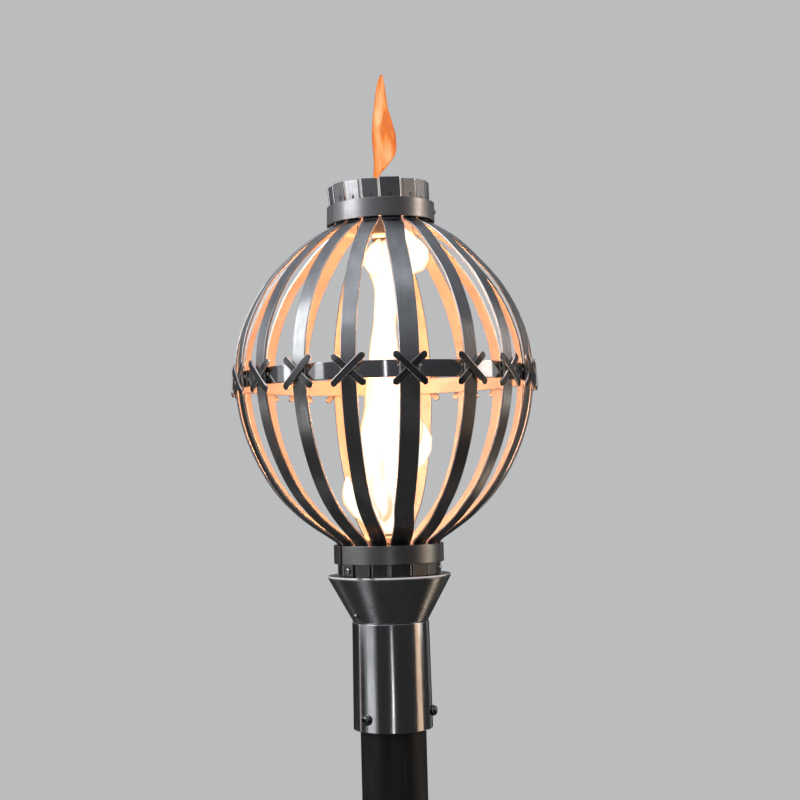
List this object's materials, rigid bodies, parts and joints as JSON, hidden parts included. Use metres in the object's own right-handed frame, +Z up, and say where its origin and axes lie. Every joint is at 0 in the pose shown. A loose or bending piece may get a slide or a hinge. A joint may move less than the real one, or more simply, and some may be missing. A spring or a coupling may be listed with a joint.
{
  "type": "tiki torch",
  "caption": "Gas tiki torch: a cage of curved steel straps with crossed ties on a hoop, over a conical burner cup, sleeve and black pole.",
  "frame": {"origin": "centre of the pole's foot, on the ground line", "axes": "+Z up the pole, -Y the torch's front, +X to its left-hand side as the torch faces you, which is the viewer's right"},
  "size_m": [0.3572, 0.3566, 1.7476],
  "materials": {
    "strap_steel": "satin, brushed along the strap, a little heat-darkened",
    "band_steel": "brushed round the band",
    "cross_steel": "satin, ground lengthwise, darker than the straps",
    "cone_steel": "satin",
    "sleeve_steel": "bright, fine brushing",
    "screw_steel": "bright",
    "burner_steel": "heat-darkened",
    "pole_coat": "black powder coat, fine orange peel",
    "brass": "machined",
    "hose": "yellow sheath",
    "pipe": "black iron gas pipe",
    "knob": "moulded, matt"
  },
  "bodies": {
    "torch": {"burner_bush": "burner_steel", "burner_cone": "cone_steel", "burner_head": "burner_steel", "burner_tube": "burner_steel", "cage_seat": "cone_steel", "clamp_screw_1": "screw_steel", "clamp_screw_2": "screw_steel", "clamp_screw_3": "screw_steel", "cone_screw": "screw_steel", "gas_cock_body": "brass", "gas_hose": "hose", "pole": "pole_coat", "sleeve": "sleeve_steel", "supply_pipe": "pipe"},
    "cage": {"strap_01": "strap_steel", "strap_02": "strap_steel", "strap_03": "strap_steel", "strap_04": "strap_steel", "strap_05": "strap_steel", "strap_06": "strap_steel", "strap_07": "strap_steel", "strap_08": "strap_steel", "strap_09": "strap_steel", "strap_10": "strap_steel", "strap_11": "strap_steel", "strap_12": "strap_steel", "strap_13": "strap_steel", "strap_14": "strap_steel", "strap_15": "strap_steel", "strap_16": "strap_steel", "strap_17": "strap_steel", "strap_18": "strap_steel", "strap_19": "strap_steel", "cross_01": "cross_steel", "cross_02": "cross_steel", "cross_03": "cross_steel", "cross_04": "cross_steel", "cross_05": "cross_steel", "cross_06": "cross_steel", "cross_07": "cross_steel", "cross_08": "cross_steel", "cross_09": "cross_steel", "cross_10": "cross_steel", "cross_11": "cross_steel", "cross_12": "cross_steel", "cross_13": "cross_steel", "cross_14": "cross_steel", "cross_15": "cross_steel", "cross_16": "cross_steel", "cross_17": "cross_steel", "cross_18": "cross_steel", "cross_19": "cross_steel", "top_collar": "band_steel", "bottom_collar": "band_steel", "equator_hoop": "band_steel", "cage_screw_1": "screw_steel", "cage_screw_2": "screw_steel", "cage_screw_3": "screw_steel"},
    "cock": {"gas_cock_plug": "brass", "gas_knob": "knob"}
  },
  "joints": [
    {"name": "cage_lift", "type": "slide", "parent": "torch", "child": "cage", "axis": [0, 0, 1], "range_m": [0, 0.12]},
    {"name": "gas_cock_turn", "type": "hinge", "parent": "torch", "child": "cock", "pos_m": [0, 0, 0.7], "axis": [0, -1, 0], "range_deg": [-90, 0]}
  ]
}
